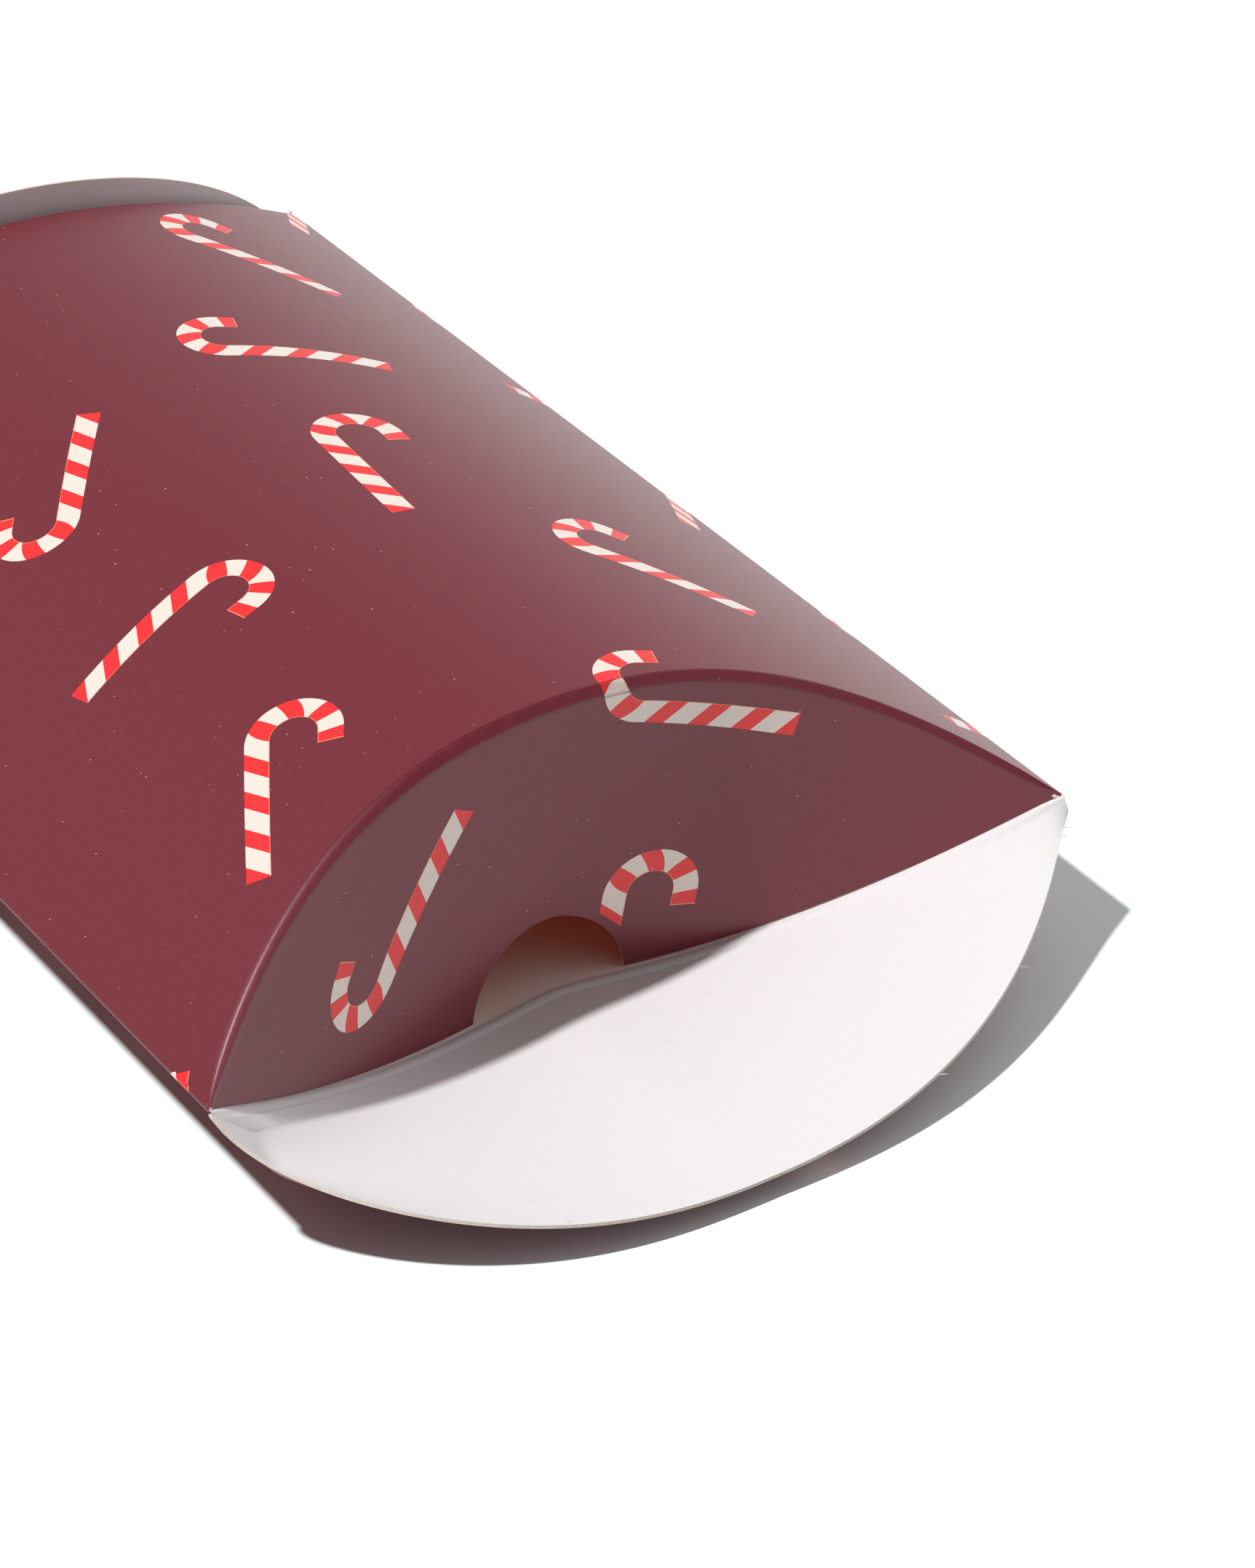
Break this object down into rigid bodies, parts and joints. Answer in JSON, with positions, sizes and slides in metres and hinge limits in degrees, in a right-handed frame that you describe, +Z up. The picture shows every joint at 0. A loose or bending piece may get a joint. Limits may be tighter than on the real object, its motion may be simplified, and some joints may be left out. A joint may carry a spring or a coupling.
{
  "type": "pillow gift box",
  "caption": "Pillow-shaped paperboard gift box with bowed panels, curved creases, thumb-notched inner flaps and an outer closing flap at each end, one of them open.",
  "frame": {"origin": "middle of the flat strip under the bottom panel, where the box stands", "axes": "+Z up; Y along the box, with the open end at -Y and the closed end at +Y; X across"},
  "size_m": [0.1, 0.1839, 0.0388],
  "materials": {
    "print": "satin",
    "inside": "matte",
    "adhesive": "satin"
  },
  "bodies": {
    "case": {"top_panel": "print", "bottom_panel": "print", "glue_tab": "inside", "glue_line": "adhesive"},
    "near_inner": {"near_inner_flap": "print"},
    "near_outer": {"near_outer_flap": "inside"},
    "far_inner": {"far_inner_flap": "print"},
    "far_outer": {"far_outer_flap": "print"}
  },
  "joints": [
    {"name": "near_inner_fold", "type": "hinge", "parent": "case", "child": "near_inner", "pos_m": [0, -0.0642, 0.03625], "axis": [-1, 0, 0], "range_deg": [0, 93]},
    {"name": "near_outer_fold", "type": "hinge", "parent": "case", "child": "near_outer", "pos_m": [0, -0.06215, 0], "axis": [1, 0, 0], "range_deg": [-81, 0], "deforming": ["near_outer_flap"]},
    {"name": "far_inner_fold", "type": "hinge", "parent": "case", "child": "far_inner", "pos_m": [0, 0.06155, 0.03625], "axis": [1, 0, 0], "range_deg": [0, 90]},
    {"name": "far_outer_fold", "type": "hinge", "parent": "case", "child": "far_outer", "pos_m": [0, 0.06245, 0], "axis": [-1, 0, 0], "range_deg": [0, 86], "deforming": ["far_outer_flap"]}
  ]
}
